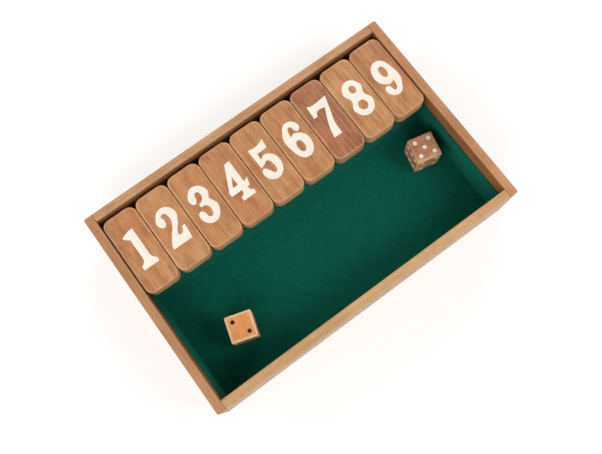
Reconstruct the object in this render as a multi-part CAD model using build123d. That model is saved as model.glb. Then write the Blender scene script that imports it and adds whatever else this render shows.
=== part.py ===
"""Shut the box: a felt-lined wooden tray, nine flip-over number tiles on a steel rod, two dice.

Frame: millimetres, +Z up, origin on the table under the middle of the box.
+X runs from tile 1 to tile 9, +Y from the player to the back wall.
"""
from math import sqrt
import os

from build123d import *

# ---- The tray --------------------------------------------------------------
box_length = 193.0          # outside, left to right
box_width = 124.0           # outside, front to back
box_height = 33.0
wall = 5.2
corner_round = 1.0          # outer upright corners
rim_round = 0.8             # both edges of the rim
finger_count = 3            # fingers in a corner joint, counted from the bottom up

floor_thickness = 3.0
floor_rebate = 2.6          # how far the floor reaches in under each wall

felt = 1.0                  # thickness of the green felt
lining_clearance = 0.3      # felt stops this far below the tiles

# ---- The number tiles ------------------------------------------------------
tile_count = 9
tile_length = 47.0
tile_thickness = 8.0
tile_corner = 4.5           # the four corners, seen from above
tile_edge_break = 0.6       # sanded bevel round both faces
tile_gap = 0.4              # between neighbours
tile_side_gap = 0.4         # between the end tiles and the side walls
tile_back_gap = 2.2         # between the tiles and the back wall
tile_below_rim = 0.8
tile_arm = 16.0             # from a tile's back end to the rod

# ---- The rod and the rail --------------------------------------------------
rod_diameter = 3.0
rod_chamfer = 0.4
rod_socket = 3.5            # depth of the blind holes in the side walls
rod_running_gap = 0.08      # radial, in the tiles
rod_glue_gap = 0.03         # radial, in the side walls
rail_thickness = 5.0
rail_housing = 1.5          # how far the rail's ends are let into the side walls
tile_overhang = 2.0         # tiles past the felt on the rail, for a fingertip

# ---- The dice --------------------------------------------------------------
die_size = 15.0
die_round = 1.0
pip_diameter = 2.6
pip_depth = 0.5
pip_sides = 12              # each pip is a shallow point, cut with this many flats
light_pip_spacing = 3.6
dark_pip_spacing = 4.1
light_die_from_left = 27.8  # centre to the felt on the left wall
light_die_from_front = 24.8
light_die_turn = -17.0      # degrees, seen from above
dark_die_from_right = 12.7
dark_die_from_rail = 20.0
dark_die_turn = -12.5

# ---- Worked out from the sizes above ---------------------------------------
inner_length = box_length - 2 * wall
inner_width = box_width - 2 * wall

tile_width = (inner_length - 2 * tile_side_gap - (tile_count - 1) * tile_gap) / tile_count
tile_pitch = tile_width + tile_gap
tile_back_y = inner_width / 2 - tile_back_gap
tile_front_y = tile_back_y - tile_length
rest_z = box_height - tile_below_rim - tile_thickness       # underside of the tiles

rod_y = tile_back_y - tile_arm
rod_z = rest_z + tile_thickness / 2
rod_length = inner_length + 2 * rod_socket

rail_felt_y = tile_front_y + tile_overhang                  # front of the felt on the rail
rail_front_y = rail_felt_y + felt
front_wall_y = -inner_width / 2                             # inner face of the front wall

felt_top = floor_thickness + felt
lining_top = rest_z - lining_clearance


def block(x_span, y_span, z_span):
    """A box from three (low, high) pairs."""
    sizes = [high - low for low, high in (x_span, y_span, z_span)]
    middle = [(high + low) / 2 for low, high in (x_span, y_span, z_span)]
    return Pos(*middle) * Box(*sizes)


def cylinder_along_x(radius, length, y, z):
    return Pos(0, y, z) * Rot(0, 90, 0) * Cylinder(radius, length)


def floor_panel():
    """A thin board that fills the rebate under the walls."""
    return block(
        (-inner_length / 2 - floor_rebate, inner_length / 2 + floor_rebate),
        (-inner_width / 2 - floor_rebate, inner_width / 2 + floor_rebate),
        (0, floor_thickness),
    )


def tile_rail():
    """The upright board that the front ends of the tiles lie on."""
    reach = inner_length / 2 + rail_housing
    return block((-reach, reach), (rail_front_y, rail_front_y + rail_thickness), (floor_thickness, rest_z))


def pivot_rod():
    rod = cylinder_along_x(rod_diameter / 2, rod_length, rod_y, rod_z)
    ends = rod.edges().filter_by(GeomType.CIRCLE)
    return chamfer(ends, min(rod_chamfer, rod_diameter / 4))


def wall_ring():
    """All four walls as one ring: rounded rim, rebate, housings and sockets cut."""
    outline = RectangleRounded(box_length, box_width, corner_round)
    ring = extrude(outline, box_height) - extrude(Rectangle(inner_length, inner_width), box_height)
    rim = ring.faces().sort_by(Axis.Z)[-1]
    ring = fillet(rim.edges(), min(rim_round, wall / 3))
    sockets = cylinder_along_x(rod_diameter / 2 + rod_glue_gap, rod_length, rod_y, rod_z)
    return ring - floor_panel() - tile_rail() - sockets


def corner_fingers(side):
    """The fingers of the front and back walls that pass into one side wall, for the whole box width."""
    height = box_height / finger_count
    inner = side * inner_length / 2
    outer = side * box_length / 2
    fingers = []
    for level in range(1, finger_count, 2):
        fingers.append(
            block(
                (min(inner, outer), max(inner, outer)),
                (-box_width / 2, box_width / 2),
                (level * height, (level + 1) * height),
            )
        )
    return fingers


def side_wall(ring, side):
    """Left (-1) or right (+1) wall, the full width of the box, notched for the fingers."""
    inner = side * inner_length / 2
    outer = side * box_length / 2
    board = block(
        (min(inner, outer), max(inner, outer)), (-box_width / 2, box_width / 2), (0, box_height)
    )
    for finger in corner_fingers(side):
        for end in (-1, 1):
            corner = Pos(0, end * (box_width - wall) / 2, box_height / 2) * Box(box_length, wall, box_height)
            board -= finger & corner
    return ring & board


def end_wall(ring, side):
    """Front (-1) or back (+1) wall, between the side walls, with fingers into both."""
    inner = side * inner_width / 2
    outer = side * box_width / 2
    y_span = (min(inner, outer), max(inner, outer))
    board = block((-inner_length / 2, inner_length / 2), y_span, (0, box_height))
    strip = block((-box_length / 2, box_length / 2), y_span, (0, box_height))
    for end in (-1, 1):
        for finger in corner_fingers(end):
            board += finger & strip
    return ring & board


def floor_felt():
    return block((-inner_length / 2, inner_length / 2), (front_wall_y, rail_front_y), (floor_thickness, felt_top))


def side_felt(side):
    """The felt on the left (-1) or right (+1) wall of the dice tray."""
    glued = side * inner_length / 2
    face = glued - side * felt
    return block((min(glued, face), max(glued, face)), (front_wall_y, rail_front_y), (felt_top, lining_top))


def cross_felt(y_low):
    """A felt strip across the tray, between the two side strips."""
    reach = inner_length / 2 - felt
    return block((-reach, reach), (y_low, y_low + felt), (felt_top, lining_top))


def number_tile(index):
    """One tile: rounded corners, bevelled edges and a cross hole for the rod."""
    x = (index - (tile_count + 1) / 2) * tile_pitch
    plan = RectangleRounded(tile_width, tile_length, min(tile_corner, tile_width / 2.2))
    tile = Pos(x, (tile_back_y + tile_front_y) / 2, rest_z) * extrude(plan, tile_thickness)
    faces = tile.faces().sort_by(Axis.Z)
    rims = faces[0].edges() + faces[-1].edges()
    tile = chamfer(rims, min(tile_edge_break, tile_thickness / 4))
    return tile - cylinder_along_x(rod_diameter / 2 + rod_running_gap, 2 * box_length, rod_y, rod_z)


# Where the pips stand on a face, in spacings from its middle.
PIP_LAYOUTS = {
    1: [(0, 0)],
    2: [(-1, 1), (1, -1)],
    3: [(-1, 1), (0, 0), (1, -1)],
    4: [(-1, -1), (-1, 1), (1, -1), (1, 1)],
    5: [(-1, -1), (-1, 1), (0, 0), (1, -1), (1, 1)],
    6: [(-1, -1), (-1, 0), (-1, 1), (1, -1), (1, 0), (1, 1)],
}

# Which way each count faces: right-handed dice, opposite faces add up to seven.
LIGHT_DIE_FACES = {1: (0, 90, 0), 6: (0, -90, 0), 3: (90, 0, 0), 4: (-90, 0, 0), 2: (0, 0, 0), 5: (180, 0, 0)}
DARK_DIE_FACES = {1: (0, 90, 0), 6: (0, -90, 0), 4: (90, 0, 0), 3: (-90, 0, 0), 5: (0, 0, 0), 2: (180, 0, 0)}


def pip_cutter():
    """The point of a spotting drill, standing on its tip, twice as deep as the pip it cuts."""
    top = Pos(0, 0, pip_depth) * RegularPolygon(pip_diameter, pip_sides)
    return loft([top.face(), Vertex(0, 0, -pip_depth)], ruled=True)


def die(x, y, turn, faces, pip_spacing):
    """A rounded cube with a shallow pointed dimple for each pip."""
    cube = Box(die_size, die_size, die_size)
    cube = fillet(cube.edges(), min(die_round, die_size / 5))
    cutter = pip_cutter()
    dimples = []
    for count, tilt in faces.items():
        for across, along in PIP_LAYOUTS[count]:
            place = Pos(across * pip_spacing, along * pip_spacing, die_size / 2)
            dimples.append(Rot(*tilt) * place * cutter)
    cube -= dimples
    return Pos(x, y, felt_top + die_size / 2) * Rot(0, 0, turn) * cube


def all_nodes():
    ring = wall_ring()
    nodes = {
        "left_wall": side_wall(ring, -1),
        "right_wall": side_wall(ring, 1),
        "front_wall": end_wall(ring, -1),
        "back_wall": end_wall(ring, 1),
        "floor_panel": floor_panel(),
        "tile_rail": tile_rail(),
        "pivot_rod": pivot_rod(),
        "floor_felt": floor_felt(),
        "left_felt": side_felt(-1),
        "right_felt": side_felt(1),
        "front_felt": cross_felt(front_wall_y),
        "rail_felt": cross_felt(rail_felt_y),
    }
    for index in range(1, tile_count + 1):
        nodes[f"tile_{index}"] = number_tile(index)
    nodes["light_die"] = die(
        -inner_length / 2 + felt + light_die_from_left,
        front_wall_y + felt + light_die_from_front,
        light_die_turn,
        LIGHT_DIE_FACES,
        light_pip_spacing,
    )
    nodes["dark_die"] = die(
        inner_length / 2 - felt - dark_die_from_right,
        rail_felt_y - dark_die_from_rail,
        dark_die_turn,
        DARK_DIE_FACES,
        dark_pip_spacing,
    )
    return nodes


os.makedirs("parts", exist_ok=True)
for name, shape in all_nodes().items():
    shape.label = name
    export_step(shape, f"parts/{name}.step")

print(f"tile {tile_width:.2f} x {tile_length} x {tile_thickness}, rod at y {rod_y:.2f}, z {rod_z:.2f}")
tail = sqrt(tile_arm ** 2 + (tile_thickness / 2) ** 2)
print(f"tile tail sweeps {tail:.2f}, floor {rod_z - floor_thickness:.2f} below the rod")
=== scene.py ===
"""A shut the box game: its finishes and its fine pieces, over the CAD frame.

Metres, +Z up, in the CAD's own frame: +X runs from tile 1 to tile 9, +Y from the player to the back wall.
"""

from math import radians

import bmesh
import bpy
from mathutils import Euler, Matrix, Vector, noise


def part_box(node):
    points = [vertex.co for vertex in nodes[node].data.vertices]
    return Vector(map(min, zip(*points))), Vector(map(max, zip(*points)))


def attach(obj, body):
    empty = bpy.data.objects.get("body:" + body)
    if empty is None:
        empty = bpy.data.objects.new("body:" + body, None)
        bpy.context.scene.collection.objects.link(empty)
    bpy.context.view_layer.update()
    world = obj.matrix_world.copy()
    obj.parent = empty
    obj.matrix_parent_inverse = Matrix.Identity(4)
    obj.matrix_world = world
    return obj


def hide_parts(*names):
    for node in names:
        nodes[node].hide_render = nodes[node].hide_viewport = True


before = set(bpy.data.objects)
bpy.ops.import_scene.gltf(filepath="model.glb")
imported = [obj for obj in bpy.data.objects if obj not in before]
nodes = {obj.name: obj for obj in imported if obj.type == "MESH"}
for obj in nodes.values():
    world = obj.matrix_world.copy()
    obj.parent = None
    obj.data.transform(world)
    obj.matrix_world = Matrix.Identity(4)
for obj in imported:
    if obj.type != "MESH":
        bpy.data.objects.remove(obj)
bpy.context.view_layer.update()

MM = 0.001
TILES = [f"tile_{number}" for number in range(1, 10)]

# Sizes of what the CAD leaves to this script, in millimetres.
TILE_CORNER = 4.5           # the four corners, seen from above
TILE_EDGE = 0.9             # sanded edges of both faces
ROD_HOLE = 3.16             # the rod and its running gap
DIGIT_HEIGHT = 22.6
DIGIT_PAINT = 0.09          # how far the screen print stands proud
INK_SPREAD = 0.1            # how far the ink ran past the stencil
INK_EDGE = 0.03             # rounding of the print's edges
DIE_EDGE = 1.0
PIP_SIZE = 2.6
PIP_DEPTH = 0.5
PIP_BALL = (PIP_SIZE ** 2 / 4 + PIP_DEPTH ** 2) / (2 * PIP_DEPTH)   # radius of the ball that cuts a pip
PAINT_LEVEL = 0.10          # how far the paint in a pip stays below the die's face
PAINT_BITE = 0.01           # how far it reaches into the wood
PAINT_RIM = 0.12            # the level ring round its edge
PAINT_SLOPE = 0.35          # from that ring to the dished middle
PAINT_DISH = 0.13
LIGHT_PIP_STEP = 3.6
DARK_PIP_STEP = 4.1
LIGHT_DIE_TURN = -17.0      # degrees, seen from above
DARK_DIE_TURN = -12.5
FELT_TOP = 0.95             # highest point of a felt, above the face that it is glued to
FELT_GLUE = 0.15            # how much of that is under the sheet
FELT_SWELL = 0.12           # how uneven its top is
FELT_SWELL_WIDTH = 14
FELT_STEP = 1.6             # spacing of its corners
WELD_REACH = 0.002          # corners nearer than this become one
SLICE_REACH = 0.001         # corners nearer than this to a cutting plane lie on it

# The boards, in millimetres from the middle of the box and up from the table.
BOARD_FACE = 91.3           # inner face of the side walls
BOARD_SHOULDER = 56.8       # inner face of the front and back walls
FINGER = 11.0               # height of one finger of the corner joints
PAST_SIDE = 97              # just outside a side wall
PAST_END = 62               # outer face of the front and back walls
PAST_RIM = 33.1             # just above the rim
GLUE_LINE = 0.11            # half the width of a glue line

# How strongly each mark of the wood shows, as a share.
RING_SHARE = 0.11
PATCH_SHARE = 0.95
PORE_SHARE = 0.55
GLUE_SHARE = 0.75
RING_UNIT = 0.314           # one ring of Blender's wave pattern, 2 pi / 20 of its unit

WALL_PORES = "#6B3D20"
BLUSH = "#BC6A3F"
# darkens the walls' inner faces: painted shade
INNER_SHADE = "#BEB09A"
OLD_GLUE = "#4A2A16"
WHITE = (1, 1, 1, 1)
SOFTBOX_SIZE = 0.4          # metres


# ---- Camera ----------------------------------------------------------------

def set_camera():
    """Looks down on the tray from its front left, fitted to the rim's corners in the photograph."""
    lens = bpy.data.cameras.new("camera")
    lens.lens = 37.54
    lens.sensor_width = 36
    lens.shift_x = -0.0143
    lens.shift_y = 0.0591
    camera = bpy.data.objects.new("camera", lens)
    camera.location = (-0.04831, -0.07937, 0.35063)
    camera.rotation_euler = [radians(angle) for angle in (11.062, 0.669, -36.463)]
    bpy.context.scene.collection.objects.link(camera)
    bpy.context.scene.camera = camera


# ---- Materials -------------------------------------------------------------

def colour(code):
    """An sRGB hex colour as the linear colour that a socket takes."""
    shares = [int(code[at:at + 2], 16) / 255 for at in (1, 3, 5)]
    linear = [s / 12.92 if s <= 0.04045 else ((s + 0.055) / 1.055) ** 2.4 for s in shares]
    return (*linear, 1)


def add(material, kind, inputs=None, **settings):
    """Adds one node to a material. Its inputs are values or other nodes' sockets, by name or number."""
    tree = material.node_tree
    made = tree.nodes.new("ShaderNode" + kind)
    for name, value in settings.items():
        setattr(made, name, value)
    for name, value in (inputs or {}).items():
        if isinstance(value, bpy.types.NodeSocket):
            tree.links.new(value, made.inputs[name])
        else:
            made.inputs[name].default_value = value
    return made


def new_material(name):
    """An empty finish: the material and its shader."""
    material = bpy.data.materials.new(name)
    material.use_nodes = True
    return material, material.node_tree.nodes["Principled BSDF"]


def in_mm(material, shares=(1, 1, 1), turn=(0, 0, 0), shift=(0, 0, 0)):
    """The point in millimetres, with each axis scaled by its share, then turned and shifted."""
    here = add(material, "TexCoord").outputs["Object"]
    return add(material, "Mapping", {
        "Vector": here, "Scale": [share / MM for share in shares], "Rotation": turn, "Location": shift,
    }).outputs[0]


def grain_place(material, along, heart, turn):
    """The point in millimetres with local Z along the grain and the heart of the tree on that Z axis."""
    lay = {
        "X": Matrix.Rotation(radians(-90), 3, "Y"),
        "Y": Matrix.Rotation(radians(90), 3, "X"),
    }[along]
    lay = lay @ Matrix.Rotation(radians(-turn), 3, "Z")
    return in_mm(material, turn=lay.to_euler(), shift=heart)


def stretched(material, place, share):
    """The same point with the grain direction shortened, so that a pattern on it comes out long."""
    return add(material, "Mapping", {"Vector": place, "Scale": (1, 1, share)}).outputs[0]


def between(material, value, low, high, to_low=0.0, to_high=1.0):
    """Eases a value from one range to another."""
    return add(material, "MapRange", {
        "Value": value, "From Min": low, "From Max": high, "To Min": to_low, "To Max": to_high,
    }, interpolation_type="SMOOTHSTEP").outputs[0]


def mixed(material, share, first, second, way="MIX"):
    """Mixes two colours by a share from 0 to 1."""
    return add(material, "Mix", {0: share, 6: first, 7: second}, data_type="RGBA", blend_type=way).outputs[2]


def sums(material, way, first, second=0.0, third=0.0):
    """One step of arithmetic."""
    return add(material, "Math", {0: first, 1: second, 2: third}, operation=way).outputs[0]


def cloudy(material, place, scale, detail=3.0, roughness=0.5, distortion=0.0):
    """Soft noise from 0 to 1, its patches about 1 / scale wide."""
    return add(material, "TexNoise", {
        "Vector": place, "Scale": scale, "Detail": detail, "Roughness": roughness, "Distortion": distortion,
    }).outputs["Fac"]


def from_middle(material, axis):
    """How far the point lies from the middle of the box along one axis, in mm."""
    parts = add(material, "SeparateXYZ", {0: add(material, "TexCoord").outputs["Object"]})
    return sums(material, "MULTIPLY", sums(material, "ABSOLUTE", parts.outputs[axis]), 1 / MM)


def dress(material, shader, surface, relief, strength, depth):
    """Gives a shader its colour and its bumps, which are at most depth mm high."""
    tree = material.node_tree
    tree.links.new(surface, shader.inputs["Base Color"])
    bump = add(material, "Bump", {"Height": relief, "Strength": strength, "Distance": depth * MM})
    tree.links.new(bump.outputs[0], shader.inputs["Normal"])


def glue_lines(material, lines):
    """Where boards meet, a hair-thin dark line. Each line is the axis across it and its place in mm from the
    middle of the box, then the axis that bounds it and from where to where."""
    apart = {axis: from_middle(material, axis) for axis in "XYZ"}
    dark = None
    for axis, place, bound, low, high in lines:
        on_line = sums(material, "COMPARE", apart[axis], place, GLUE_LINE)
        within = sums(material, "COMPARE", apart[bound], (low + high) / 2, (high - low) / 2)
        one = sums(material, "MULTIPLY", on_line, within)
        dark = one if dark is None else sums(material, "MAXIMUM", dark, one)
    return dark


def wood(name, pale, deep, pore, along, heart, ring, gloss=0.46, turn=0.0, streak=0.35, cloud=14.0, flush=0.38,
         lines=(), edge_highlight=None, inner=None):
    """Solid hardwood, planed, sanded and thinly varnished: growth rings cut as the board lies in the tree,
    long fibres, and open pores as fine dark dashes. ring is the width of a growth ring and cloud that of a paler
    or darker patch, in mm; flush is how strong the redder blush gets. rubbed makes the share of a paler colour
    painted along edges as a highlight; inner is the axis and place in mm of a face darkened with painted shade."""
    material, shader = new_material(name)
    place = grain_place(material, along, heart, turn)

    # growth rings, drawn out along the grain
    rings = add(material, "TexWave", {
        "Vector": stretched(material, place, 0.1), "Scale": RING_UNIT / ring,
        "Distortion": 3.2, "Detail": 2.0, "Detail Scale": 0.8, "Detail Roughness": 0.5,
    }, wave_type="RINGS", rings_direction="Z", wave_profile="SAW").outputs["Fac"]
    late_wood = between(material, rings, 0.15, 0.95)

    # fibres about 0.5 mm wide and 10 mm long
    fibres = cloudy(material, stretched(material, place, 0.05), 2.0, 4.0, 0.62)
    # patches of another tone, and a redder blush in patches twice as wide
    patches = cloudy(material, stretched(material, place, 0.5), 1 / cloud, 3.0, 0.6)
    blush = cloudy(material, stretched(material, place, 0.6), 0.5 / cloud, 3.0, 0.55)

    tone = sums(material, "MULTIPLY_ADD", late_wood, RING_SHARE, sums(material, "MULTIPLY", fibres, streak * 2))
    tone = sums(material, "MULTIPLY_ADD", patches, PATCH_SHARE, tone)
    tone = between(material, tone, streak + 0.28, streak + 0.78)
    surface = mixed(material, tone, colour(pale), colour(deep))
    surface = mixed(material, between(material, blush, 0.45, 0.72, 0.0, flush), surface, colour(BLUSH))

    # pores about 0.12 mm wide and 2 mm long
    cells = add(material, "TexVoronoi", {"Vector": stretched(material, place, 0.07), "Scale": 1.5})
    pores = between(material, cells.outputs["Distance"], 0.10, 0.20, 1.0, 0.0)
    surface = mixed(material, sums(material, "MULTIPLY", pores, PORE_SHARE), surface, colour(pore))

    # painted shade: the inner faces of the walls are darkened, as they stand in shade
    if inner:
        surface = mixed(material, inner_face(material, *inner), surface, colour(INNER_SHADE), "MULTIPLY")
    # painted highlight: a paler colour mixed in along the edges of tiles and dice
    if edge_highlight:
        share, highlight_tone = edge_highlight(material)
        surface = mixed(material, share, surface, colour(highlight_tone))
    if lines:
        glue = sums(material, "MULTIPLY", glue_lines(material, lines), GLUE_SHARE)
        surface = mixed(material, glue, surface, colour(OLD_GLUE))

    relief = sums(material, "MULTIPLY_ADD", pores, -0.8, fibres)
    dress(material, shader, surface, relief, 0.5, 0.06)
    roughness = between(material, fibres, 0.3, 0.7, gloss - 0.07, gloss + 0.09)
    material.node_tree.links.new(roughness, shader.inputs["Roughness"])
    shader.inputs["Specular IOR Level"].default_value = 0.35
    shader.inputs["Coat Weight"].default_value = 0.06
    shader.inputs["Coat Roughness"].default_value = 0.25
    return material


def inner_face(material, axis, place):
    """The share of a wall's inner face that is darkened with painted shade: 1 on it, and 0 from the rounding of the
    rim outwards.
    """
    return between(material, from_middle(material, axis), place + 0.05, place + 0.4, 1.0, 0.0)


def die_edge_highlight(material, name, turn, start, most):
    """Paler along every edge of a die, a painted highlight: from start, a share of the way
    out from the middle, up to the share most."""
    low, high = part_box(name)
    here = add(material, "TexCoord").outputs["Object"]
    half = (high.z - low.z) / 2
    centred = add(material, "Mapping", {
        "Vector": here, "Location": [-m / half for m in (low + high) / 2], "Scale": (1 / half, 1 / half, 1 / half),
    }).outputs[0]
    centred = add(material, "Mapping", {"Vector": centred, "Rotation": (0, 0, radians(-turn))}).outputs[0]
    parts = add(material, "SeparateXYZ", {0: centred})
    x, y, z = [sums(material, "ABSOLUTE", parts.outputs[axis]) for axis in "XYZ"]
    second = sums(material, "MAXIMUM", sums(material, "MINIMUM", x, y), sums(material, "MINIMUM", y, z))
    second = sums(material, "MAXIMUM", second, sums(material, "MINIMUM", z, x))
    second = sums(material, "MULTIPLY_ADD", cloudy(material, centred, 2.5), 0.12, second)
    return between(material, second, start, 1.04, 0.0, most)


def tile_edge_highlight(material, name):
    """Paler along the outline of a tile seen from above and over its sides: a painted highlight, strongest at the
    edges.
    """
    low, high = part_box(name)
    middle, half = (low + high) / 2, (high - low) / 2
    centred = in_mm(material, shift=[-m / MM for m in middle])
    parts = add(material, "SeparateXYZ", {0: centred})
    # how far the point lies past where the corner's round begins, along X and along Y
    past = []
    for number, axis in enumerate("XY"):
        apart = sums(material, "ABSOLUTE", parts.outputs[axis])
        apart = sums(material, "SUBTRACT", apart, half[number] / MM - TILE_CORNER)
        past.append(sums(material, "MAXIMUM", apart))
    squares = sums(material, "MULTIPLY_ADD", past[0], past[0], sums(material, "MULTIPLY", past[1], past[1]))
    inside = sums(material, "SUBTRACT", TILE_CORNER, sums(material, "SQRT", squares))
    reach = sums(material, "MULTIPLY", cloudy(material, centred, 0.35), 2.4)
    edge = sums(material, "DIVIDE", inside, reach)
    return between(material, edge, 0.2, 1.2, 0.40, 0.0)


def felt(name, ground, nap):
    """Pressed wool felt: no weave, short fibres lying every way, a soft bloom at grazing angles."""
    material, shader = new_material(name)
    place = in_mm(material)
    # single fibres are 0.03 mm, too fine to show, so they are drawn as tufts 0.35 mm wide
    tufts = cloudy(material, place, 2.8, 5.0, 0.7, 0.8)
    clumps = cloudy(material, place, 0.35, 3.0, 0.6)
    tone = sums(material, "MULTIPLY_ADD", clumps, 0.45, sums(material, "MULTIPLY", tufts, 0.55))
    surface = mixed(material, between(material, tone, 0.26, 0.74), colour(ground), colour(nap))
    dress(material, shader, surface, tone, 0.8, 0.35)
    shader.inputs["Roughness"].default_value = 0.95
    shader.inputs["Specular IOR Level"].default_value = 0.15
    shader.inputs["Sheen Weight"].default_value = 0.05
    shader.inputs["Sheen Roughness"].default_value = 0.5
    shader.inputs["Sheen Tint"].default_value = colour("#5FA58C")
    return material


def paint(name, body, thin, roughness=0.5, shine=0.5):
    """Screen ink or dipped paint: near even, a little thinner where the wood's fibres stand up under it."""
    material, shader = new_material(name)
    fibres = cloudy(material, in_mm(material, (1, 0.12, 1)), 2.0, 4.0, 0.62)
    surface = mixed(material, between(material, fibres, 0.55, 0.85), colour(body), colour(thin))
    dress(material, shader, surface, fibres, 0.35, 0.05)
    shader.inputs["Roughness"].default_value = roughness
    shader.inputs["Specular IOR Level"].default_value = shine
    return material


def drawn_steel(name):
    """Bright drawn rod: fine scratches from the die run along it."""
    material, shader = new_material(name)
    scratches = cloudy(material, in_mm(material, (0.02, 1, 1)), 6.0)
    surface = mixed(material, scratches, colour("#B9BABB"), colour("#D4D4D2"))
    dress(material, shader, surface, scratches, 0.3, 0.02)
    roughness = between(material, scratches, 0.3, 0.7, 0.24, 0.38)
    material.node_tree.links.new(roughness, shader.inputs["Roughness"])
    shader.inputs["Metallic"].default_value = 1.0
    return material


def coat_node(name, material):
    """Gives a CAD node its finish."""
    mesh = nodes[name].data
    if not mesh.materials:
        mesh.materials.append(material)
    for number in range(len(mesh.materials)):
        mesh.materials[number] = material


# ---- Modelling -------------------------------------------------------------

def deselect():
    """Leaves edit mode, with nothing selected."""
    if bpy.context.object and bpy.context.object.mode != "OBJECT":
        bpy.ops.object.mode_set(mode="OBJECT")
    bpy.ops.object.select_all(action="DESELECT")


def pick(piece):
    """Makes one piece the only selected one, and the active one."""
    deselect()
    piece.select_set(True)
    bpy.context.view_layer.objects.active = piece


def edit_all(piece):
    """Goes into edit mode with the whole piece selected."""
    pick(piece)
    bpy.ops.object.mode_set(mode="EDIT")
    bpy.ops.mesh.select_all(action="SELECT")


def choose(piece, kind, wanted):
    """Goes into edit mode with only the edges or faces that pass the test selected."""
    bpy.context.view_layer.objects.active = piece
    bpy.ops.object.mode_set(mode="EDIT")
    bpy.ops.mesh.select_mode(type=kind)
    bpy.ops.mesh.select_all(action="DESELECT")
    form = bmesh.from_edit_mesh(piece.data)
    form.normal_update()
    for part in form.edges if kind == "EDGE" else form.faces:
        if wanted(part):
            part.select_set(True)
    bmesh.update_edit_mesh(piece.data)


def fix_place(piece):
    """Writes the piece's place into its mesh."""
    pick(piece)
    bpy.ops.object.transform_apply(location=True, rotation=True, scale=True)


def settle(piece, name, material, smooth=35):
    """Fixes the piece's place, smooths what is round and gives it its finish."""
    fix_place(piece)
    bpy.ops.object.shade_smooth_by_angle(angle=radians(smooth))
    piece.name = piece.data.name = name
    piece.data.materials.clear()
    piece.data.materials.append(material)


def block(middle, size):
    """A cube at its place and size."""
    deselect()
    bpy.ops.mesh.primitive_cube_add(size=1, location=middle)
    piece = bpy.context.object
    piece.scale = size
    fix_place(piece)
    return piece


def cut_away(piece, cutter):
    """Cuts one piece by another, which is used up."""
    bpy.context.view_layer.objects.active = piece
    cut = piece.modifiers.new("cut", "BOOLEAN")
    cut.operation = "DIFFERENCE"
    cut.solver = "EXACT"
    cut.object = cutter
    bpy.ops.object.modifier_apply(modifier=cut.name)
    bpy.data.objects.remove(cutter)


def weld(piece):
    """Merges corners that lie on one another."""
    edit_all(piece)
    bpy.ops.mesh.remove_doubles(threshold=WELD_REACH * MM)
    bpy.ops.object.mode_set(mode="OBJECT")


def face_out(piece):
    """Turns the faces of a piece to one side, outwards if it is closed."""
    edit_all(piece)
    bpy.ops.mesh.normals_make_consistent(inside=False)
    bpy.ops.object.mode_set(mode="OBJECT")


def joined(pieces):
    """Several pieces as one."""
    deselect()
    for piece in pieces:
        piece.select_set(True)
    bpy.context.view_layer.objects.active = pieces[0]
    bpy.ops.object.join()
    return bpy.context.object


def upright(edge):
    """Parallel to Z."""
    first, second = (corner.co for corner in edge.verts)
    return abs((first - second).normalized().z) > 0.99


def on_rim(edge):
    """Between a level face and one that isn't."""
    return sorted(abs(face.normal.z) > 0.9 for face in edge.link_faces) == [False, True]


def number_tile():
    """One flip tile, made where tile 1 is: round corners, sanded edges, a cross hole for the rod."""
    low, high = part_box(TILES[0])
    tile = block((low + high) / 2, high - low)
    choose(tile, "EDGE", upright)
    bpy.ops.mesh.bevel(offset=TILE_CORNER * MM, segments=10, affect="EDGES")
    choose(tile, "EDGE", on_rim)
    bpy.ops.mesh.bevel(offset=TILE_EDGE * MM, segments=4, affect="EDGES")
    deselect()
    rod_low, rod_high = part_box("pivot_rod")
    rod = (rod_low + rod_high) / 2
    bpy.ops.mesh.primitive_cylinder_add(
        vertices=32, radius=ROD_HOLE * MM / 2, depth=(high.x - low.x) * 2,
        location=((low.x + high.x) / 2, rod.y, rod.z), rotation=(0, radians(90), 0),
    )
    cut_away(tile, bpy.context.object)
    return tile


def dress_tiles(finishes):
    """Nine copies of the one tile, each on its own body."""
    pattern = number_tile()
    first_low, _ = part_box(TILES[0])
    for name, finish in zip(TILES, finishes):
        tile = bpy.data.objects.new(name + "_block", pattern.data.copy())
        bpy.context.scene.collection.objects.link(tile)
        tile.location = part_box(name)[0] - first_low
        settle(tile, name + "_block", finish)
        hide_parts(name)
        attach(tile, name + "_body")
    bpy.data.objects.remove(pattern)


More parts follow.
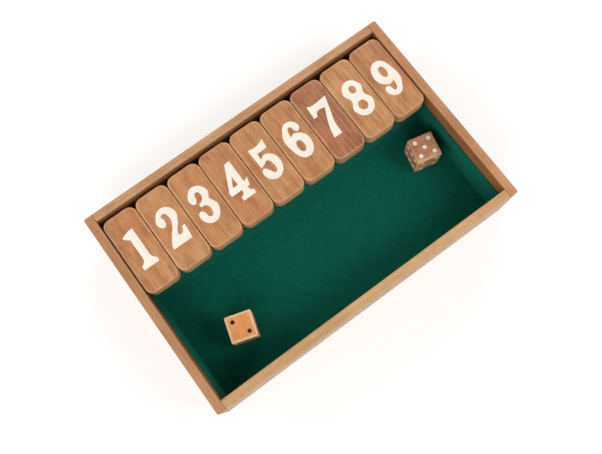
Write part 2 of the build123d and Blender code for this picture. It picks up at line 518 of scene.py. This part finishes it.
# The digits, drawn in hundredths of their height from the bottom left. A point is smooth (S) or a corner (C).
# An outline runs clockwise and a hole the other way, so that the ink spreads into the holes too.
S, C = "AUTO", "VECTOR"
DIGITS = {
    1: [[(1, 0, C), (0, 8.5, C), (11.5, 18.5, S), (13, 25, C), (13, 79, C), (1.5, 88, C), (0.5, 92.5, C),
         (20, 99.5, S), (31, 100, C), (31, 25, C), (32.5, 18.5, S), (41, 8.5, C), (40.5, 0, C)]],
    2: [[(0, 0, C), (0.5, 9, C), (14.5, 31.5, S), (28, 50.5, S), (33.5, 69, S), (24.5, 87, S), (16.5, 81, S),
         (19, 72, S), (17, 61, S), (10, 57, S), (0.5, 67, S), (4, 84, S), (27, 100.5, S), (51.5, 79, S),
         (44.5, 53, S), (31.5, 34.5, S), (27, 22, C), (38, 22, S), (46, 36, C), (52.7, 36, C), (50, 0, C)]],
    3: [[(25, 100.5, S), (49.5, 78, S), (42.5, 55.5, C), (51.5, 29, S), (24.5, 0, S), (0, 22, S), (8, 39, S),
         (15.5, 31, S), (18.5, 18.5, S), (25.5, 15, S), (34, 30, S), (27, 46, S), (15.5, 48, C), (15.5, 56, C),
         (25, 59.5, S), (32.5, 73, S), (26, 85.5, S), (18, 80, S), (16, 70, S), (9, 61.5, S), (0.5, 70, S),
         (5, 88, S)]],
    4: [[(-0.5, 32, C), (30.5, 98, C), (44, 100, C), (44, 38, C), (47, 38, S), (56, 43, C), (50.5, 23.5, C),
         (44.5, 23.5, C), (45, 14, S), (52.5, 8, C), (52, -1, C), (18, -1, C), (17.5, 8, C), (27, 14, S),
         (28.5, 23.5, C), (1, 23.5, C)],
        [(28.5, 39, C), (27.5, 66, C), (13.5, 39, C)]],
    5: [[(3, 96, C), (24, 94, S), (46.5, 101, C), (43.5, 78, C), (16.5, 77.5, C), (15, 60, C), (31, 65.5, S),
         (52, 36, S), (27, 0, S), (0, 22, S), (7.5, 37, S), (16.5, 28, S), (28, 14, S), (34, 36, S),
         (25.5, 51, S), (15, 46, C), (4.5, 42.5, C)]],
    6: [[(29, 100.5, S), (50.5, 80, S), (43, 68, S), (35.5, 74.5, S), (33.5, 84, S), (27.5, 87.5, S), (17.5, 62, C),
         (31.5, 66.5, S), (54.3, 35, S), (27, 0, S), (0, 45, S), (8, 84, S)],
        [(26.3, 48, S), (16.8, 32, S), (26.3, 16, S), (35.8, 32, S)]],
    7: [[(3, 100, C), (8, 96.5, S), (50, 97.5, S), (56, 98.5, C), (43, 56, S), (35, 30, S), (33, -1.5, C),
         (12, -1.5, C), (16, 20, S), (26, 47, S), (39.5, 75.5, C), (17, 76.5, S), (10, 65.5, C), (0.5, 65.5, C)]],
    8: [[(27, 100, S), (52, 76, S), (46, 52.5, S), (54, 26, S), (27, 0, S), (0, 25, S), (9, 51, S),
         (2.2, 77.3, S)],
        [(28.4, 85.6, S), (19.2, 74.6, S), (28.4, 63.6, S), (37.6, 74.6, S)],
        [(26.5, 42, S), (14, 28, S), (26.5, 14.5, S), (38.5, 28, S)]],
}
DIGITS[9] = [[(54 - x, 100 - y, kind) for x, y, kind in line] for line in DIGITS[6]]
# The tiles were printed one by one: how far each digit stands right of and above the middle of its tile, in mm.
DIGIT_SHIFTS = {1: (0.3, 0.65), 2: (0.1, 0.6), 3: (0.3, 0.25), 4: (0.3, 0.7), 5: (0.5, 0),
                6: (0.1, -0.1), 7: (0.6, 0.5), 8: (0.5, -0.3), 9: (0.25, -0.5)}


def print_digit(number, ink):
    """A bold, narrow slab digit, printed on its tile's top face."""
    outline = bpy.data.curves.new(f"digit_{number}", "CURVE")
    outline.dimensions = "2D"
    outline.fill_mode = "BOTH"
    outline.resolution_u = 10
    soft = INK_EDGE * MM
    outline.extrude = DIGIT_PAINT * MM / 2 - soft
    outline.bevel_depth = soft
    outline.bevel_resolution = 1
    outline.offset = INK_SPREAD * MM - soft
    unit = DIGIT_HEIGHT * MM / 100
    widths = [x for line in DIGITS[number] for x, _, _ in line]
    middle = (min(widths) + max(widths)) / 2
    for line in DIGITS[number]:
        spline = outline.splines.new("BEZIER")
        spline.bezier_points.add(len(line) - 1)
        spline.use_cyclic_u = True
        for point, (x, y, kind) in zip(spline.bezier_points, line):
            point.co = ((x - middle) * unit, (y - 50) * unit, 0)
            point.handle_left_type = point.handle_right_type = kind
    digit = bpy.data.objects.new(f"digit_{number}", outline)
    bpy.context.scene.collection.objects.link(digit)
    pick(digit)
    bpy.ops.object.convert(target="MESH")
    digit = bpy.context.object
    weld(digit)
    face_out(digit)
    low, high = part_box(f"tile_{number}")
    right, up = DIGIT_SHIFTS[number]
    digit.location = (
        (low.x + high.x) / 2 + right * MM, (low.y + high.y) / 2 + up * MM, high.z + DIGIT_PAINT * MM / 2)
    settle(digit, f"digit_{number}", ink)
    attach(digit, f"tile_{number}_body")


# Where the pips stand on a face, in steps from its middle.
PIPS = {
    1: [(0, 0)],
    2: [(-1, 1), (1, -1)],
    3: [(-1, 1), (0, 0), (1, -1)],
    4: [(-1, -1), (-1, 1), (1, -1), (1, 1)],
    5: [(-1, -1), (-1, 1), (0, 0), (1, -1), (1, 1)],
    6: [(-1, -1), (-1, 0), (-1, 1), (1, -1), (1, 0), (1, 1)],
}
# How each face is tipped from the top, in degrees about X, Y and Z.
LIGHT_DIE = {1: (0, 90, 0), 6: (0, -90, 0), 3: (90, 0, 0), 4: (-90, 0, 0), 2: (0, 0, 0), 5: (180, 0, 0)}
DARK_DIE = {1: (0, 90, 0), 6: (0, -90, 0), 4: (90, 0, 0), 3: (-90, 0, 0), 5: (0, 0, 0), 2: (180, 0, 0)}


def pip_places(faces, size, step):
    """Where each pip stands on the die's surface, as matrices with +Z pointing out."""
    for count, tip in faces.items():
        lay = Euler([radians(angle) for angle in tip]).to_matrix().to_4x4()
        for across, up in PIPS[count]:
            yield lay @ Matrix.Translation((across * step * MM, up * step * MM, size / 2))


def pip_paint():
    """The paint that lies in one pip: a bowl-shaped puddle, with a dished top."""
    ball = PIP_BALL * MM
    deselect()
    bpy.ops.mesh.primitive_uv_sphere_add(
        segments=24, ring_count=32, radius=ball + PAINT_BITE * MM, location=(0, 0, ball - PIP_DEPTH * MM))
    drop = bpy.context.object
    fix_place(drop)
    choose(drop, "FACE", lambda face: True)
    bpy.ops.mesh.bisect(
        plane_co=(0, 0, -PAINT_LEVEL * MM), plane_no=(0, 0, 1), use_fill=True, clear_outer=True,
        threshold=SLICE_REACH * MM)
    # the cut face, which has far more corners than the others
    choose(drop, "FACE", lambda face: face.normal.z > 0.9 and len(face.verts) > 8)
    bpy.ops.mesh.inset(thickness=PAINT_RIM * MM)
    bpy.ops.mesh.inset(thickness=PAINT_SLOPE * MM)
    bpy.ops.transform.translate(value=(0, 0, -PAINT_DISH * MM))
    deselect()
    return drop


def die(name, faces, turn, step, timber, ink):
    """A wooden die: rounded edges, round-bottomed dimples, and paint in each dimple."""
    low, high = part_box(name)
    size = high.z - low.z
    cube = block((0, 0, 0), (size, size, size))
    choose(cube, "EDGE", lambda edge: True)
    bpy.ops.mesh.bevel(offset=DIE_EDGE * MM, segments=5, affect="EDGES")
    deselect()
    ball = PIP_BALL * MM
    drop = pip_paint()
    balls, drops = [], []
    for place in pip_places(faces, size, step):
        bpy.ops.mesh.primitive_uv_sphere_add(segments=24, ring_count=24, radius=ball)
        cutter = bpy.context.object
        cutter.matrix_world = place @ Matrix.Translation((0, 0, ball - PIP_DEPTH * MM))
        balls.append(cutter)
        puddle = bpy.data.objects.new("puddle", drop.data.copy())
        bpy.context.scene.collection.objects.link(puddle)
        puddle.matrix_world = place
        drops.append(puddle)
    bpy.data.objects.remove(drop)
    cut_away(cube, joined(balls))
    weld(cube)
    pips = joined(drops)
    for piece in (cube, pips):
        fix_place(piece)
        piece.rotation_euler = (0, 0, radians(turn))
        piece.location = (low + high) / 2
    settle(cube, name + "_cube", timber)
    settle(pips, name + "_pips", ink, smooth=50)
    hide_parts(name)
    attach(cube, name + "_body")
    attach(pips, name + "_body")


def lay_felt(node, out, material):
    """A felt sheet glued where its CAD solid lies: slightly uneven. out points off the glue."""
    low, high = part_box(node)
    middle, size = (low + high) / 2, high - low
    normal = Vector(out)
    thin = max(range(3), key=lambda axis: abs(normal[axis]))
    across, up = [axis for axis in range(3) if axis != thin]
    counts = [max(2, round(size[axis] / (FELT_STEP * MM))) for axis in (across, up)]
    deselect()
    bpy.ops.mesh.primitive_grid_add(x_subdivisions=counts[0], y_subdivisions=counts[1], size=1)
    cloth = bpy.context.object
    glued = Vector(middle)
    glued[thin] = low[thin] if normal[thin] > 0 else high[thin]
    for corner in cloth.data.vertices:
        place = Vector(glued)
        place[across] += corner.co.x * size[across]
        place[up] += corner.co.y * size[up]
        swell = noise.noise(place / (FELT_SWELL_WIDTH * MM)) * 0.5 + 0.5
        place[thin] += normal[thin] * (FELT_TOP - FELT_SWELL * swell) * MM
        corner.co = place
    face_out(cloth)
    if cloth.data.polygons[0].normal.dot(normal) < 0:
        cloth.data.flip_normals()
    thickness = cloth.modifiers.new("thickness", "SOLIDIFY")
    thickness.thickness = (FELT_TOP - FELT_GLUE) * MM
    thickness.offset = -1
    bpy.ops.object.modifier_apply(modifier=thickness.name)
    settle(cloth, node + "_sheet", material, smooth=60)
    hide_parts(node)
    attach(cloth, "box")
    return cloth, (size[across], size[up])


# ---- Studio ----------------------------------------------------------------

def lay_floor():
    """A plain white table. The camera sees it as white paper that keeps a soft shadow. It glows more beyond the
    lamps, where they no longer light it, so that it stays white up to the horizon."""
    deselect()
    bpy.ops.mesh.primitive_plane_add(size=6, location=(0, 0, 0))
    floor = bpy.context.object
    floor.name = "studio_floor"
    material, shader = new_material("white_paper")
    shader.inputs["Base Color"].default_value = colour("#C8C8C8")
    shader.inputs["Roughness"].default_value = 0.9
    shader.inputs["Specular IOR Level"].default_value = 0.1
    rays = add(material, "LightPath")
    seen = sums(material, "MAXIMUM", rays.outputs["Is Camera Ray"], rays.outputs["Is Glossy Ray"])
    seen = sums(material, "MAXIMUM", seen, rays.outputs["Is Transmission Ray"])
    away = add(material, "VectorMath", {0: add(material, "TexCoord").outputs["Object"]}, operation="LENGTH")
    # from 0.45 m to 0.9 m off the middle, the glow rises from 0.48 to 0.9
    level = between(material, away.outputs["Value"], 0.45, 0.9, 0.48, 0.9)
    glow = add(material, "Emission", {"Color": WHITE, "Strength": sums(material, "MULTIPLY", seen, level)})
    both = add(material, "AddShader", {0: shader.outputs[0], 1: glow.outputs[0]})
    output = material.node_tree.nodes["Material Output"]
    material.node_tree.links.new(both.outputs[0], output.inputs["Surface"])
    floor.data.materials.append(material)


def softbox(name, place, power):
    """A square soft light that faces the middle of the tray."""
    lamp = bpy.data.lights.new(name, "AREA")
    lamp.shape = "SQUARE"
    lamp.size = SOFTBOX_SIZE
    lamp.energy = power
    box = bpy.data.objects.new(name, lamp)
    box.location = place
    box.rotation_euler = (-Vector(place)).to_track_quat("-Z", "Y").to_euler()
    bpy.context.scene.collection.objects.link(box)


def light_studio():
    """Five soft lights round the table, low enough for the walls to shade the tray, and a dim white room."""
    softbox("back_right_softbox", (0.498, 0.498, 0.257), 3.2)
    softbox("back_left_softbox", (-0.498, 0.498, 0.257), 2.4)
    softbox("left_softbox", (-0.705, 0.0, 0.257), 1.7)
    softbox("front_left_softbox", (-0.418, -0.418, 0.462), 1.95)
    softbox("front_right_softbox", (0.418, -0.418, 0.462), 2.65)
    world = bpy.data.worlds.new("pale_room")
    bpy.context.scene.world = world
    world.use_nodes = True
    tree = world.node_tree
    room = tree.nodes["Background"]
    # the room lights the game dimly, and the camera sees it as white
    rays = tree.nodes.new("ShaderNodeLightPath")
    strength = tree.nodes.new("ShaderNodeMapRange")
    strength.inputs["To Min"].default_value = 0.21
    strength.inputs["To Max"].default_value = 1.0
    tree.links.new(rays.outputs["Is Camera Ray"], strength.inputs["Value"])
    tree.links.new(strength.outputs[0], room.inputs["Strength"])
    room.inputs["Color"].default_value = WHITE
    bpy.context.scene.view_settings.view_transform = "Standard"


# ---- The game --------------------------------------------------------------

set_camera()

# Corner joints: the glue lines that show on each board, as glue_lines() takes them.
END_LINES = [("Z", FINGER, "X", BOARD_FACE, PAST_SIDE), ("Z", 2 * FINGER, "X", BOARD_FACE, PAST_SIDE),
             ("X", BOARD_FACE, "Z", 0, FINGER), ("X", BOARD_FACE, "Z", 2 * FINGER, PAST_RIM)]
SIDE_LINES = [("Z", FINGER, "Y", BOARD_SHOULDER, PAST_END), ("Z", 2 * FINGER, "Y", BOARD_SHOULDER, PAST_END),
              ("Y", BOARD_SHOULDER, "Z", FINGER, 2 * FINGER)]

# Walls: orange-brown hardwood, each from its own part of the plank, grain along the board.
# the inner face of each wall is darkened with painted shade
SIDE_INNER, END_INNER = ("X", BOARD_FACE), ("Y", BOARD_SHOULDER)
for name, pale, deep, along, heart, ring, lines, inner in (
    ("left_wall", "#BC8D66", "#A87853", "Y", (40, 25, 80), 2.6, SIDE_LINES, SIDE_INNER),
    ("right_wall", "#C79168", "#AF7A54", "Y", (-60, 30, 90), 3.1, SIDE_LINES, SIDE_INNER),
    ("front_wall", "#D1A67A", "#B98F63", "X", (30, 22, 0), 2.8, END_LINES, END_INNER),
    ("back_wall", "#CD9E76", "#B4855C", "X", (18, -30, 60), 2.4, END_LINES, END_INNER),
):
    coat_node(name, wood(
        name + "_timber", pale, deep, WALL_PORES, along, heart, ring, flush=0.22, lines=lines, inner=inner))
coat_node("tile_rail", wood("rail_timber", "#C1946B", "#A2724B", WALL_PORES, "X", (26, 34, 30), 3.0))
coat_node("floor_panel", wood("panel_plywood", "#D9BC94", "#B8905F", "#8A6238", "X", (0, 190, 0), 9.0, streak=0.3))
coat_node("pivot_rod", drawn_steel("drawn_steel"))

# Tiles: nine offcuts of the same timber, each from its own part of the tree, so the tone changes from one to
# the next.
HONEY, TAN, CHESTNUT = ("#CF9A6B", "#AC734A"), ("#CD9466", "#A46E46"), ("#B57D5A", "#8F583B")
TONES = [TAN, HONEY, HONEY, TAN, HONEY, TAN, CHESTNUT, HONEY, TAN]
finishes = []
for number, (pale, deep) in enumerate(TONES, 1):
    heart = (25 + 13 * (number * 5 % 4), -20 - 9 * (number * 3 % 5), 70 * number)
    ring = 2.2 + 0.35 * (number * 7 % 4)
    # each tile is painted paler along its outline and sides as a highlight
    finishes.append(wood(
        f"tile_{number}_timber", pale, deep, "#5E341C", "Y", heart, ring, gloss=0.42, cloud=8.0,
        edge_highlight=lambda material, name=f"tile_{number}": (tile_edge_highlight(material, name), "#DDAF80")))
dress_tiles(finishes)

white_ink = paint("white_screen_ink", "#F8ECDD", "#EAD6BE")
for number in DIGITS:
    print_digit(number, white_ink)

# each die is painted paler along its edges as a highlight
light_timber = wood(
    "light_die_timber", "#EBA165", "#DC8E53", "#A87240", "Y", (14, -18, 5), 1.6,
    turn=LIGHT_DIE_TURN, streak=0.25, cloud=6.0,
    edge_highlight=lambda material: (die_edge_highlight(material, "light_die", LIGHT_DIE_TURN, 0.8, 0.85), "#F1DAB2"))
dark_timber = wood(
    "dark_die_timber", "#D8A67B", "#A1664A", "#4A2418", "X", (12, 16, 40), 1.5,
    turn=DARK_DIE_TURN, streak=0.3, cloud=5.0,
    edge_highlight=lambda material: (die_edge_highlight(material, "dark_die", DARK_DIE_TURN, 0.86, 0.4), "#E0BE98"))
brown_pips = paint("brown_pip_paint", "#38170A", "#4E2814", roughness=0.6, shine=0.15)
white_pips = paint("white_pip_paint", "#FFF3E2", "#F4E2CA")
die("light_die", LIGHT_DIE, LIGHT_DIE_TURN, LIGHT_PIP_STEP, light_timber, brown_pips)
die("dark_die", DARK_DIE, DARK_DIE_TURN, DARK_PIP_STEP, dark_timber, white_pips)

green = felt("green_felt", "#025545", "#076955")
for node, out, under, held in (
    ("floor_felt", (0, 0, 1), "floor_panel", "laid"),
    ("left_felt", (1, 0, 0), "left_wall", "stretched"),
    ("right_felt", (-1, 0, 0), "right_wall", "stretched"),
    ("front_felt", (0, 1, 0), "front_wall", "stretched"),
    ("rail_felt", (0, -1, 0), "tile_rail", "stretched"),
):
    cloth, flat = lay_felt(node, out, green)

lay_floor()
light_studio()
